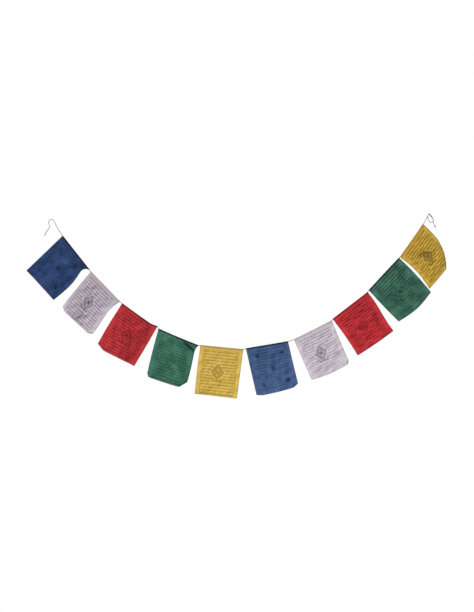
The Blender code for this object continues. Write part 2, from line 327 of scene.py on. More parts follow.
def makeString(line):
    length = lengthsAlong(line)[-1]
    rings = round(length / stringShape["ringStep"])
    distances = np.linspace(0, length, rings + 1)
    fromEnd = np.minimum(distances, length - distances) / stringShape["blunt"]
    blunting = np.sqrt(1 - (1 - np.clip(fromEnd, stringShape["tip"], 1)) ** 2)
    centres = placesAlong(line, distances)
    opened = stringShape["opening"] * smoothStep(stringShape["loosened"], 0, distances)
    radii = stringShape["radius"] * stringShape["bulge"] * (1 + opened) * blunting
    string = tube("string_twisted", centres, radii, stringShape["sides"],
                  turn=fullTurn * distances / stringShape["lay"], outline=plyOutline)
    return string, centres, length


def makeKnot(line, length):
    # A small overhand knot, drawn tight round the string a little way from its tip. Its strand
    # goes round the string twice, and in and out three times.
    ends = placesAlong(line, [length - knotShape["fromTip"], length - knotShape["fromTip"] / 2])
    axis = unit(ends[1] - ends[0])
    across = unit(behind - axis * (behind @ axis))
    upward = np.cross(across, axis)
    turns, waves = knotShape["loops"]
    t = np.linspace(0, fullTurn, knotShape["rings"])[:, None]
    reach = 2 + np.cos(waves * t)
    path = (across * reach * np.cos(turns * t) + upward * reach * np.sin(turns * t)
            + axis * np.sin(waves * t)) * knotShape["size"] + ends[0]
    turn = fullTurn * lengthsAlong(path) / stringShape["lay"]
    return tube("string_knot", path, knotShape["strand"], knotShape["sides"], turn=turn,
                outline=plyOutline, sideHint=axis)


line, hems = stringLine()
string, stringPath, stringLength = makeString(line)
knot = makeKnot(line, stringLength)
print("string:", round(stringLength, 3), "m, with", len(string.data.polygons), "faces")


# the flags' cloth

clothShape = {
    "flat": (0.141, 0.162),  # cut of one flag, its turn-in included
    "printed": (0.141, 0.152),
    "thick": 0.0004,
    "tunnel": 0.0013,  # radius of the cloth's middle round the string
    "layerGap": 0.0003,  # each hem layer's distance from the flag's own plane
    "pinch": 0.0045,  # below the string, where the two layers meet
    "hemDepth": 0.009,
    "columns": 96,
    "hemRows": 8,
    "foldRows": 12,
    "rows": 104,
    "waveGrowth": 1.5,
}
wrinkleShape = {
    "pucker": 0.00035,  # gathers under the hem's stitches
    "puckerWidth": 0.0085,
    "puckerUneven": 0.4,  # share of their height that varies
    "puckerChange": 130,  # how fast it does, in radians a metre
    "puckerStart": (0.001, 0.006),  # below the string
    "puckerReach": 0.016,
    "fineStart": (0.004, 0.03),  # below the string, where ripples and fine creases set in
    "ripples": 9,
    "rippleHeight": 0.00045,
    "rippleShares": (0.4, 1),  # of that height
    "rippleWidths": (0.018, 0.05),
    "creases": 7,
    "creaseInset": 0.01,  # from a side edge
    "creasesFrom": (0.02, 0.14),  # below the string
    "creaseHeights": (0.0004, 0.0012),
    "creaseLengths": (0.02, 0.06),
    "creaseWidths": (0.0025, 0.006),
    "edgeWander": 0.0002,
    "edgeWaves": (610, 1370),  # radians a metre
    "edgeReach": 0.003,
    "seed": 11,
}
# Lower corners and edges, seen from the front along the flag's own hem, as right and down.
flagColumns = (
    "name", "leftDrop", "leftShift", "leftBow",
    "rightDrop", "rightShift", "rightBow", "rightSway", "notch", "notchAt",
    "bottomBow", "waves", "wavePhase", "waveDepth", "belly",
)
flagRows = (
    ("01_blue", 0.165, 0.016, 0, 0.155, 0.004, 0.002, 0, 0.016, 0.021,
     -0.001, 1.2, 0.4, 0.0035, 0.002),
    ("02_white", 0.1545, 0.018, -0.0015, 0.1475, 0.014, -0.0065, -0.0035, 0, 0.02,
     0, 1.3, 2.6, 0.004, -0.002),
    ("03_red", 0.167, 0.006, -0.002, 0.151, 0.007, 0.001, 0, 0, 0.02,
     0, 1.1, 1.2, 0.0035, 0.0025),
    ("04_green", 0.16, 0.0245, -0.0015, 0.148, 0.0155, 0, 0, 0.007, 0.024,
     0.002, 1.4, 4.0, 0.004, 0.003),
    ("05_yellow", 0.1605, -0.0043, -0.0015, 0.163, -0.006, 0, 0, 0, 0.02,
     0, 1.0, 5.3, 0.002, 0.001),
    ("06_blue", 0.1615, 0.009, 0, 0.1515, 0.01, -0.0005, 0, 0, 0.02,
     0.002, 1.2, 0.9, 0.003, -0.0025),
    ("07_white", 0.145, -0.007, 0, 0.1515, -0.0105, -0.001, 0, 0, 0.02,
     0.006, 1.3, 3.3, 0.0035, 0.002),
    ("08_red", 0.145, -0.008, 0.0025, 0.153, -0.011, 0.001, 0.0015, 0, 0.02,
     0.002, 1.1, 5.0, 0.0035, -0.002),
    ("09_green", 0.142, -0.008, -0.0015, 0.154, -0.011, 0.003, 0, 0, 0.02,
     0.009, 1.0, 1.9, 0.003, 0.003),
    ("10_yellow", 0.1395, -0.03, 0.008, 0.151, -0.027, 0, 0, 0, 0.02,
     0.001, 1.2, 3.9, 0.003, 0.0025),
)
# Lower corners that roll away to the back: where the roll cuts the bottom and the side.
curlColumns = ("name", "side", "along", "up", "bulge", "radius")
curlRows = (
    ("02_white", "left", 0.013, 0.008, 0, 0.006),
    ("02_white", "right", 0.013, 0.009, 0, 0.006),
    ("03_red", "left", 0.025, 0.012, 0, 0.007),
    ("04_green", "right", 0.021, 0.023, 0, 0.008),
    ("04_green", "left", 0.006, 0.008, 0, 0.006),
    ("06_blue", "right", 0.016, 0.009, 0, 0.006),
    ("06_blue", "left", 0.014, 0.005, 0, 0.005),
    ("07_white", "right", 0.005, 0.009, 0, 0.005),
    ("10_yellow", "right", 0.05, 0.1, 0.01, 0.007),
)
# Soft creases from one place of a flag to another, as right and down. A height over nothing is
# a ridge to the front, and one under nothing a hollow.
creaseColumns = ("name", "fromRight", "fromDown", "toRight", "toDown", "height", "spread")
creaseRows = (
    ("01_blue", 0.128, 0.018, 0.06, 0.062, 0.005, 0.009),
    ("03_red", 0.118, 0.012, 0.078, 0.06, 0.003, 0.01),
    ("04_green", 0.036, 0.012, 0.14, 0.028, 0.005, 0.006),
    ("08_red", 0.01, 0.06, 0.06, 0.12, 0.004, 0.012),
    ("10_yellow", 0.02, 0.03, 0.084, 0.096, -0.003, 0.012),
)
# Sharper folds than those of the solids: ridges, and hollows whose cloth is also darkened with
# painted shade.
foldRows = (
    ("01_blue", 0.132, 0.014, 0.075, 0.05, 0.0018, 0.004),
    ("01_blue", 0.1, 0.006, 0.152, 0.016, -0.0035, 0.004),
    ("03_red", 0.072, 0.007, 0.13, 0.01, -0.0025, 0.003),
    ("04_green", 0.092, 0.001, 0.175, 0.03, 0.0035, 0.003),
    ("04_green", 0.084, 0.004, 0.175, 0.035, -0.0085, 0.0032),
    ("08_red", 0.128, 0.055, 0.105, 0.125, -0.0025, 0.006),
    ("09_green", 0.03, 0.115, 0.085, 0.06, 0.0022, 0.006),
)
# Painted shade in the folds' hollows: the cloth's tone is darkened there, the more the deeper the
# hollow.
foldShadeShape = {
    "deep": 0.006,  # a hollow this deep is at its darkest
    "light": 0.4,  # that is left there
}


def rowsOf(columns, rows):
    return [dict(zip(columns, row)) for row in rows]


def sideEdge(down, drop, shift, bow, sway=0, notch=0, notchAt=1):
    # A side edge as right and down of its upper corner, at a share of the way down.
    depth = drop * down
    scoop = notch * depth / notchAt * np.exp(1 - depth / notchAt)
    right = shift * down + bow * np.sin(math.pi * down) + sway * np.sin(fullTurn * down)
    return np.stack((right - scoop, depth), axis=-1)


def rollBack(place, curl):
    # What lies past a line through two edge points rolls to the back without stretching.
    fromMiddle = place - curl["middle"]
    alongLine = fromMiddle @ curl["line"] / curl["half"]
    edge = curl["bulge"] * (1 - alongLine ** 2) - curl["radius"]
    past = np.maximum(fromMiddle @ curl["outward"] - edge, 0)
    angle = past / curl["radius"]
    reach = np.where(angle < math.pi, curl["radius"] * np.sin(angle),
                     math.pi * curl["radius"] - past)
    depth = np.where(angle < math.pi, curl["radius"] * (1 - np.cos(angle)), 2 * curl["radius"])
    return place + curl["outward"] * (reach - past)[..., None], depth


def creaseHeight(place, start, end, height, spread):
    run = end - start
    share = (place - start) @ run / (run @ run)
    away = np.linalg.norm(place - start - run * share[..., None], axis=-1)
    ridge = height * np.sin(math.pi * np.clip(share, 0, 1)) * np.exp(-(away / spread) ** 2)
    return np.where((share > 0) & (share < 1), ridge, 0)


class Flag:
    # One flag's cloth: shares across and down it, or a length along it, become places.

    def __init__(self, flag, hem, seed):
        self.flag = flag
        self.hem = hem
        self.length = lengthsAlong(hem)[-1]
        self.width = np.linalg.norm(hem[-1] - hem[0])
        self.right = unit(hem[-1] - hem[0])
        self.down = np.array((self.right[2], 0, -self.right[0]))
        self.wrap = clothShape["tunnel"] * math.pi / 2
        self.curls = [self.curlLine(curl) for curl in rowsOf(curlColumns, curlRows)
                      if curl["name"] == flag["name"]]
        self.creases = [crease for crease in rowsOf(creaseColumns, creaseRows + foldRows)
                        if crease["name"] == flag["name"]]
        self.wrinkles = self.drawWrinkles(np.random.default_rng(seed))

    def drawWrinkles(self, random):
        shape = wrinkleShape
        count = shape["ripples"]
        angles = random.uniform(0, math.pi, count)
        widths = random.uniform(*shape["rippleWidths"], count)
        ripples = (np.stack((np.cos(angles), np.sin(angles)), axis=-1) * fullTurn / widths[:, None],
                   random.uniform(0, fullTurn, count),
                   random.uniform(*shape["rippleShares"], count) * shape["rippleHeight"])
        inset = shape["creaseInset"]
        highest, lowest = shape["creasesFrom"]
        creases = []
        for _ in range(shape["creases"]):
            start = random.uniform((inset, highest), (self.width - inset, lowest))
            angle = random.uniform(0, fullTurn)
            length = random.uniform(*shape["creaseLengths"])
            end = start + length * np.array((math.cos(angle), math.sin(angle)))
            height = random.uniform(*shape["creaseHeights"]) * random.choice((-1, 1))
            creases.append((start, end, height, random.uniform(*shape["creaseWidths"])))
        return ripples, creases, random.uniform(0, fullTurn, 4)

    def leftEdge(self, down):
        flag = self.flag
        return sideEdge(down, flag["leftDrop"], flag["leftShift"], flag["leftBow"])

    def rightEdge(self, down):
        flag = self.flag
        edge = sideEdge(down, flag["rightDrop"], flag["rightShift"], flag["rightBow"],
                        flag["rightSway"], flag["notch"], flag["notchAt"])
        return edge + np.array((self.width, 0))

    def curlLine(self, curl):
        # The line that a corner rolls over, which bulges outwards between its two ends.
        corner, other = self.rightEdge(1), self.leftEdge(1)
        top = np.array((self.width, 0))
        if curl["side"] == "left":
            corner, other = other, corner
            top = np.zeros(2)
        alongEnd = corner + unit(other - corner) * curl["along"]
        upEnd = corner + unit(top - corner) * curl["up"]
        direction = unit(upEnd - alongEnd)
        outward = np.array((direction[1], -direction[0]))
        if outward @ (corner - alongEnd) < 0:
            outward = -outward
        return {"middle": (alongEnd + upEnd) / 2, "line": direction, "outward": outward,
                "half": np.linalg.norm(upEnd - alongEnd) / 2,
                "bulge": curl["bulge"], "radius": curl["radius"]}

    def flatPlace(self, across, down):
        # The place in the flag's own plane, blended from its four edges.
        onString = placesAlong(self.hem, across * self.length) - self.hem[0]
        top = np.stack((onString @ self.right, onString @ self.down), axis=-1)
        bottomLeft, bottomRight = self.leftEdge(1), self.rightEdge(1)
        leftSide, rightSide = self.leftEdge(down), self.rightEdge(down)
        across, down = across[..., None], down[..., None]
        bow = np.array((0, self.flag["bottomBow"])) * np.sin(math.pi * across)
        straight = bottomLeft + (bottomRight - bottomLeft) * across
        betweenEnds = top * (1 - down) + (straight + bow) * down
        betweenSides = leftSide + (rightSide - leftSide) * across
        corners = np.array((self.width, 0)) * across * (1 - down) + straight * down
        return betweenEnds + betweenSides - corners

    def foldShade(self, across, down):
        # How far a place lies in the hollow of a fold, up to 1: how much painted shade it gets.
        flat = self.flatPlace(across, down)
        depth = np.zeros_like(across)
        for fold in self.creases:
            depth = depth + np.maximum(-self.crease(flat, fold), 0)
        return np.clip(depth / foldShadeShape["deep"], 0, 1)

    def crease(self, flat, crease):
        start = np.array((crease["fromRight"], crease["fromDown"]))
        end = np.array((crease["toRight"], crease["toDown"]))
        return creaseHeight(flat, start, end, crease["height"], crease["spread"])

    def wrinkle(self, place):
        # How far fine wrinkles and the gathers under the hem push the cloth to the front.
        shape = wrinkleShape
        (waves, phases, heights), creases, chance = self.wrinkles
        height = (np.sin(place @ waves.T + phases) * heights).sum(axis=-1)
        for start, end, ridge, spread in creases:
            height = height + creaseHeight(place, start, end, ridge, spread)
        below = place[..., 1]
        beside = place[..., 0]
        uneven = shape["puckerUneven"]
        change = np.sin(beside * shape["puckerChange"] + chance[1])
        gathers = (np.sin(fullTurn * beside / shape["puckerWidth"] + chance[0])
                   * (1 - uneven + uneven * change))
        fading = np.exp(-np.maximum(below - clothShape["hemDepth"], 0) / shape["puckerReach"])
        gathers = gathers * fading * smoothStep(*shape["puckerStart"], below)
        return height * smoothStep(*shape["fineStart"], below) + shape["pucker"] * gathers

    def place(self, across, down):
        flag = self.flag
        flat = self.flatPlace(across, down)
        wave = np.sin(fullTurn * flag["waves"] * across + flag["wavePhase"])
        depth = flag["waveDepth"] * wave * down ** clothShape["waveGrowth"]
        depth = depth - flag["belly"] * np.sin(math.pi * across) * np.sin(math.pi * down)
        for crease in self.creases:
            depth = depth - self.crease(flat, crease)
        depth = depth - self.wrinkle(flat)
        chance = self.wrinkles[2]
        slow, fast = wrinkleShape["edgeWaves"]
        wander = np.sin(flat[..., 1] * slow + chance[2]) + np.sin(flat[..., 1] * fast + chance[3])
        toEdge = np.minimum(across, 1 - across) * self.width / wrinkleShape["edgeReach"]
        flat[..., 0] += wander * np.exp(-toEdge) * wrinkleShape["edgeWander"] / 2
        for curl in self.curls:
            flat, roll = rollBack(flat, curl)
            depth = depth + roll
        return (self.hem[0] + flat[..., :1] * self.right + flat[..., 1:] * self.down
                + depth[..., None] * behind)

    def sheet(self, across, along):
        # along is from the top of the string: down the front, or below nothing down the back.
        size = np.abs(along)
        below = np.maximum(size - self.wrap, 0)
        angle = np.clip(size / self.wrap, 0, 1) * math.pi / 2
        tunnel = clothShape["tunnel"]
        meeting = smoothStep(0, clothShape["pinch"], below)
        front = np.where(size < self.wrap, tunnel * np.sin(angle),
                         tunnel + (clothShape["layerGap"] - tunnel) * meeting) * np.sign(along)
        rise = np.where(size < self.wrap, tunnel * np.cos(angle), 0)
        spot = self.place(across, below / self.flag["leftDrop"])
        return spot - rise[..., None] * self.down - front[..., None] * behind


def makeCloth(flag):
    data = flag.flag
    shape = clothShape
    back = np.linspace(-flag.wrap - shape["hemDepth"], -flag.wrap, shape["hemRows"], endpoint=False)
    fold = np.linspace(-flag.wrap, flag.wrap, shape["foldRows"], endpoint=False)
    front = flag.wrap + np.linspace(0, data["leftDrop"], shape["rows"])
    along = np.concatenate((back, fold, front))
    across, along = np.meshgrid(np.linspace(0, 1, shape["columns"] + 1), along)
    points = flag.sheet(across, along)
    spread = np.stack((across, (along - flag.wrap) / data["leftDrop"]), axis=-1)
    cloth = gridMesh("cloth_" + data["name"], points, spread)
    # The folds' painted shade, kept on the points for the paint.
    foldShade = flag.foldShade(across, np.maximum(spread[..., 1], 0))
    cloth.data.attributes.new("foldShade", "FLOAT", "POINT").data.foreach_set("value", foldShade.ravel())
    bpy.context.view_layer.objects.active = cloth
    thickness = cloth.modifiers.new("thickness", "SOLIDIFY")
    thickness.thickness = shape["thick"]
    thickness.offset = 0
    thickness.material_offset = 1
    bpy.ops.object.modifier_apply(modifier="thickness")
    return cloth


# stitches along each hem, and loose threads at the cut edges

stitchShape = {
    "below": 0.0074,
    "length": 0.0023,
    "step": 0.003,
    "first": 0.2,  # steps before the first stitch
    "thread": 0.00019,
    "rise": 0.00016,
    "arch": (1.6, 0.6),  # of that rise: the arch, and how far its ends sink in
    "taper": 0.12,
    "rings": 5,
    "sides": 6,
    "margin": 0.0015,
    "nearby": 0.002,  # share of the hem over which its direction is taken
}
frayShape = {
    "threads": 34,
    "between": (0.09, 0.99),  # along a side or the bottom
    "lengths": (0.0012, 0.0042),
    "root": 0.0006,  # of that, what lies in the cloth
    "thread": 0.00009,
    "taper": 0.5,
    "lean": 0.45,
    "inwards": 0.02,  # share of the flag over which its edge's direction is taken
    "rings": 6,
    "sides": 5,
    "seed": 101,
}


def threadsMesh(name, middles, thick, first, second, sides):
    # Short threads in one piece: middles is threads by rings, first and second lie across them.
    angles = fullTurn * np.arange(sides)[:, None] / sides
    around = np.cos(angles) * first[..., None, :] + np.sin(angles) * second[..., None, :]
    points = middles[..., None, :] + thick[None, :, None, None] * around
    faces = []
    for start in range(0, points[..., 0].size, sides * len(thick)):
        for ring in range(start, start + sides * (len(thick) - 1), sides):
            for side in range(sides):
                a, b = ring + side, ring + (side + 1) % sides
                faces.append((a, a + sides, b + sides, b))
    mesh = bpy.data.meshes.new(name)
    mesh.from_pydata(points.reshape(-1, 3).tolist(), [], faces)
    piece = linkNew(name, mesh)
    closeEnds(piece)
    mesh.shade_smooth()
    return piece


def makeStitches(flag):
    # Each stitch is a short thread that comes out of the cloth, lies on it and goes in again.
    shape = stitchShape
    width = flag.length
    count = int((width - 2 * shape["margin"]) / shape["step"])
    starts = shape["margin"] + (np.arange(count) + shape["first"]) * shape["step"]
    share = np.linspace(0, 1, shape["rings"])
    across = (starts[:, None] + share * shape["length"]) / width
    arch, sink = shape["arch"]
    lift = clothShape["thick"] / 2 + shape["rise"] * (np.sin(math.pi * share) * arch - sink)
    middles, outwards, upwards = [], [], []
    for side in (1, -1):
        along = np.full_like(across, side * (flag.wrap + shape["below"]))
        ahead = unit(flag.sheet(across + shape["nearby"], along)
                     - flag.sheet(across - shape["nearby"], along))
        outward = unit(np.cross(flag.down, ahead)) * side
        middles.append(flag.sheet(across, along) + outward * lift[None, :, None])
        outwards.append(outward)
        upwards.append(np.cross(ahead, outward))
    taper = shape["taper"]
    thick = shape["thread"] * np.sin(math.pi * (taper + (1 - 2 * taper) * share)) ** 0.5
    return threadsMesh("stitches_" + flag.flag["name"], np.concatenate(middles), thick,
                       np.concatenate(outwards), np.concatenate(upwards), shape["sides"])


def makeFray(flag, seed):
    # Loose ends that stick out of the sides and, twice as often, out of the bottom.
    shape = frayShape
    random = np.random.default_rng(seed)
    count = shape["threads"]
    along = random.uniform(*shape["between"], count)
    edge = random.integers(0, 4, count)  # 0 left, 1 right, 2 and 3 bottom
    across = np.select((edge == 0, edge == 1), (0.0, 1.0), along)
    down = np.where(edge < 2, along, 1.0)
    inward = np.select((edge == 0, edge == 1), (shape["inwards"], -shape["inwards"]), 0.0)
    upward = np.where(edge < 2, 0.0, -shape["inwards"])
    root = flag.place(across, down)
    outward = unit(root - flag.place(across + inward, down + upward))
    behindIt = unit(np.cross(outward, np.where((edge < 2)[:, None], flag.down, flag.right)))
    beside = np.cross(behindIt, outward)
    lean = random.normal(0, shape["lean"], (2, count, 1))
    length = random.uniform(*shape["lengths"], count)[:, None, None]
    share = np.linspace(0, 1, shape["rings"])
    reach = share[None, :, None]
    sideways = (beside * lean[0] + behindIt * lean[1])[:, None]
    middles = (root[:, None] + outward[:, None] * (length * reach - shape["root"])
               + sideways * length * reach ** 2)
    thick = shape["thread"] * (1 - shape["taper"] * share)
    ways = [np.repeat(way[:, None], shape["rings"], axis=1) for way in (beside, behindIt)]
    return threadsMesh("fray_" + flag.flag["name"], middles, thick, *ways, shape["sides"])


sewn = {}
for number, row in enumerate(rowsOf(flagColumns, flagRows)):
    name = row["name"]
    start, end = hems[name]
    flag = Flag(row, line[start:end + 1], seed=wrinkleShape["seed"] + number)
    fraySeed = frayShape["seed"] + number
    sewn[name] = (makeCloth(flag), makeStitches(flag), makeFray(flag, seed=fraySeed))
    print("flag", name, "has", len(sewn[name][0].data.polygons), "faces")


# materials


def mathNode(operation):
    def apply(self, other):
        return self.paint.math(operation, self, other)
    return apply


class Signal:
    # A number in a material. Sums, products and powers of signals add Math nodes.

    def __init__(self, paint, socket):
        self.paint = paint
        self.socket = socket

    def __abs__(self):
        return self.paint.math("ABSOLUTE", self)

    def __rsub__(self, other):
        return self.paint.math("SUBTRACT", other, self)

    __add__ = __radd__ = mathNode("ADD")
    __sub__ = mathNode("SUBTRACT")
    __mul__ = __rmul__ = mathNode("MULTIPLY")
    __truediv__ = mathNode("DIVIDE")
    __mod__ = mathNode("FLOORED_MODULO")
    __pow__ = mathNode("POWER")
    least = mathNode("MINIMUM")
    most = mathNode("MAXIMUM")


class Paint:
    # A material being mixed: node() adds any node and gives back its outputs as signals.

    def __init__(self, name):
        self.material = bpy.data.materials.new(name)
        self.material.use_nodes = True
        self.tree = self.material.node_tree
        self.surface = self.tree.nodes["Principled BSDF"]

    def node(self, kind, settings, values):
        made = self.tree.nodes.new("ShaderNode" + kind)
        for key, value in settings.items():
            setattr(made, key, value)
        for key, value in values.items():
            self.plug(made.inputs[key], value)
        return [Signal(self, socket) for socket in made.outputs]

    def plug(self, socket, value):
        if isinstance(value, Signal):
            self.tree.links.new(value.socket, socket)
        else:
            socket.default_value = value

    def math(self, operation, *values):
        return self.node("Math", {"operation": operation}, dict(enumerate(values)))[0]

    def finish(self, look, colour, tone, grain, relief=None):
        # The colour is dimmed by its tone, the grain roughens it, and the relief raises it.
        smooth, rough = look["roughness"]
        dimmed = self.node("VectorMath", {"operation": "SCALE"}, {0: colour, "Scale": tone})[0]
        values = {"Base Color": dimmed, "Roughness": smooth + rough * grain,
                  "Specular IOR Level": look["mirror"]}
        if relief is not None:
            bump = {"Strength": look["bump"], "Distance": look["height"], "Height": relief}
            values["Normal"] = self.node("Bump", {}, bump)[0]
        for key, value in values.items():
            self.plug(self.surface.inputs[key], value)
        return self.material

    def chart(self):
        # The piece's own map, as two numbers.
        mapped = self.node("UVMap", {"uv_map": "chart"}, {})[0]
        return self.node("SeparateXYZ", {}, {0: mapped})[:2]

    def noise(self, x, y, detail=2.0, roughness=0.5):
        spot = self.node("CombineXYZ", {}, {0: x, 1: y})[0]
        settings = {"noise_dimensions": "2D"}
        values = {"Vector": spot, "Scale": 1.0, "Detail": detail, "Roughness": roughness}
        return self.node("TexNoise", settings, values)[0]

    def step(self, value, low, high):
        # Nothing up to low, all from high on, and smooth between.
        settings = {"interpolation_type": "SMOOTHSTEP"}
        return self.node("MapRange", settings, {"Value": value, "From Min": low, "From Max": high})[0]

    def blend(self, share, first, second):
        return self.node("Mix", {"data_type": "RGBA"}, {0: share, 6: first, 7: second})[2]

    def line(self, value, thick, soft):
        # One where value is within a line's thickness of nothing.
        return 1 - self.step(abs(value), thick / 2, thick / 2 + soft)


# Print sizes are in millimetres across and down the cloth, from the hem's left end. A pair for an
# edge says where it starts and ends, and a pair for a line its thickness and how soft it is.
printShape = {
    "top": 9.0,
    "left": 13.5,
    "right": 128.0,
    "firstRow": 14.7,
    "rowPitch": 9.25,
    "markHeight": 0.46,
    "markPitch": 2.9,
    "markCover": 0.74,
    "markWander": 14.0,  # over which the marks stand closer or further apart
    "markDrift": 9,  # by how many marks
    "markSoft": 0.05,  # share of a mark's pitch
    "markCuts": (0.8, 1.1),  # size of the nicks that break the marks
    "cutDeep": (0.5, 0.25),  # across and down a mark, as shares of the pitches
    "markEdge": (0.75, 1.2),  # shares of a mark's half height
    "rowsInside": (-2.6, -2.2),  # of the block
    "rowChange": 7.3,  # from one row's marks to the next row's
    "borderInside": 0.9,  # of the block's edge
    "borderLine": (0.9, 0.3),
    "motifMiddle": (67.5, 77.0),
    "motifHalf": (20.0, 25.0),
    "motifRings": 5,
    "ringLine": (0.44, 0.12),  # shares of a ring's pitch
    "ringInk": 0.85,
    "outline": (0.1, 0.03),  # this and the two below are shares of the motif's half
    "motifEdge": (1.06, 1.08),
    "motifCore": (0.44, 0.5),
    "motifGap": 4.5,  # bare cloth between the motif and the rows
    "gapEdge": (1.08, 1.1),
    "foot": (17.0, 4.6),  # half its width, and its height
    "footEdge": (-0.3, 0.3),
    "footGapEdge": (0, 0.4),
    "footInk": 0.9,
    "footSlit": (0.9, 0.4),
    "slitInk": 0.6,  # taken off the foot's
    "cornerOff": (41.0, 46.0),
    "rosette": 8.5,
    "petals": 8,
    "petalEdge": (-0.4, 0.4),
    "petalDeep": 0.24,  # this and the next are shares of the rosette's size
    "eye": 0.42,
    "eyeLine": (0.9, 0.5),
    "eyeInk": 0.7,
    "wornWidth": 9,
    "wornEdge": (0.25, 0.6),
    "wornInk": (0.6, 0.55),  # its least, and what is added where it held
}
# Widths here are in millimetres too.
weaveShape = {
    "thread": 0.55,  # from one thread to the next
    "height": 0.00012,  # in metres
    "slub": 18.0,  # length of a thicker stretch of a thread
    "slubs": 0.1,
    "fade": 30.0,  # width of the patches where the dye has faded
    "fadeEdge": (0.35, 0.65),
    "mottle": 6,
    "uneven": (0.45, 0.5),  # how far the mottle and the patches change the tone
    "edge": 2.8,  # darker band along a cut edge
    "edgeFrom": 0.3,  # share that is wholly dark
    # Painted shade along the hem's top, down from its fold over the string, where the cloth wraps it:
    "tunnel": 6.4,  # the dark top of the hem, down from its fold over the string
    "tunnelShadeFrom": 0.7,
    # The rest of the doubled hem is darkened a little as painted shade, for the light that two layers
    # hold back:
    "turnIn": 0.93,  # the rest of the doubled hem
    "turnInEdge": 1.0,
    "fuzz": 1.6,
    "crumple": 7,
    "relief": {"weave": 0.5, "slubs": 0.5, "fuzz": 0.8, "crumple": 3.5, "turnIn": 0.3},
    "bump": 0.55,
    "mirror": 0.2,  # where 0.5 is usual
    "roughness": (0.82, 0.12),
}
# Of each flag: its dye, that dye where it has faded, how uneven it is, its ink, how light the hem's
# top is under its painted shade, how light the cut edges are, how dark each part of the print is,
# with its rows at the top and at the bottom, how far down the print reaches, and how far the block
# was off.
lookColumns = ("name", "dye", "faded", "fading", "ink", "hemTopShade", "edges", "rows", "lastRows",
               "motif", "centre", "corners", "border", "bottom", "offset")
lookRows = (
    ("01_blue", (0.016, 0.0415, 0.121), (0.0235, 0.054, 0.15), 1.1, (0.004, 0.008, 0.026),
     0.12, 0.5, 0.38, 0.38, 0.22, 0.85, 0.9, 0.15, 148, (3, -3)),
    ("02_white", (0.47, 0.403, 0.472), (0.42, 0.376, 0.42), 0.5, (0.07, 0.05, 0.08),
     0.9, 0.74, 0.66, 0.62, 0.95, 0.95, 0, 0.4, 150, (-3, -1)),
    ("03_red", (0.433, 0.0238, 0.027), (0.451, 0.025, 0.0325), 1.1, (0.052, 0.004, 0.007),
     0.34, 0.5, 0.74, 0.7, 1, 1, 0, 0.4, 148, (0, -2)),
    ("04_green", (0.0335, 0.129, 0.0845), (0.0435, 0.1485, 0.098), 1.3, (0.004, 0.026, 0.016),
     0.18, 0.46, 0.52, 0.58, 0.6, 0.75, 0, 0.15, 148, (0, 0)),
    ("05_yellow", (0.622, 0.423, 0.0705), (0.573, 0.391, 0.084), 0.6, (0.165, 0.094, 0.013),
     0.7, 0.74, 0.62, 0.6, 0.9, 0.9, 0, 0.75, 148, (0, 1)),
    ("06_blue", (0.0435, 0.087, 0.198), (0.0525, 0.1, 0.214), 1.3, (0.007, 0.013, 0.043),
     0.24, 0.52, 0.56, 0.28, 0.2, 0.9, 0.95, 0.15, 142, (5, -1)),
    ("07_white", (0.552, 0.483, 0.548), (0.496, 0.455, 0.502), 0.5, (0.085, 0.06, 0.095),
     0.9, 0.78, 0.58, 0.36, 0.9, 0.9, 0, 0.3, 134, (-2, 1)),
    ("08_red", (0.45, 0.0222, 0.0265), (0.467, 0.0234, 0.033), 1.1, (0.058, 0.004, 0.006),
     0.55, 0.48, 0.82, 0.54, 0.7, 0.7, 0, 0.35, 148, (0, 2)),
    ("09_green", (0.0285, 0.106, 0.0735), (0.0425, 0.132, 0.091), 1.6, (0.002, 0.014, 0.009),
     0.12, 0.42, 0.76, 0.5, 0.65, 0.95, 0, 0.1, 142, (0, -2)),
    ("10_yellow", (0.5325, 0.351, 0.049), (0.481, 0.278, 0.036), 1.4, (0.058, 0.025, 0.003),
     0.76, 0.55, 0.7, 0.66, 1, 1, 0, 0.5, 142, (0, 0)),
)
backShow = 0.3  # share of the print that shows through on the back
patternStep = 3.7  # from one flag's chance patterns to the next flag's


def rosette(paint, right, down):
    # A ring of petals round an eye, one where it is inked.
    shape = printShape
    far = (right * right + down * down) ** 0.5
    petal = paint.math("COSINE", paint.math("ARCTAN2", down, right) * shape["petals"])
    rim = shape["rosette"] * (1 - shape["petalDeep"] + shape["petalDeep"] * petal)
    inside = 1 - paint.step(far - rim, *shape["petalEdge"])
    ring = paint.line(far - shape["rosette"] * shape["eye"], *shape["eyeLine"])
    return (inside - shape["eyeInk"] * ring).most(0)


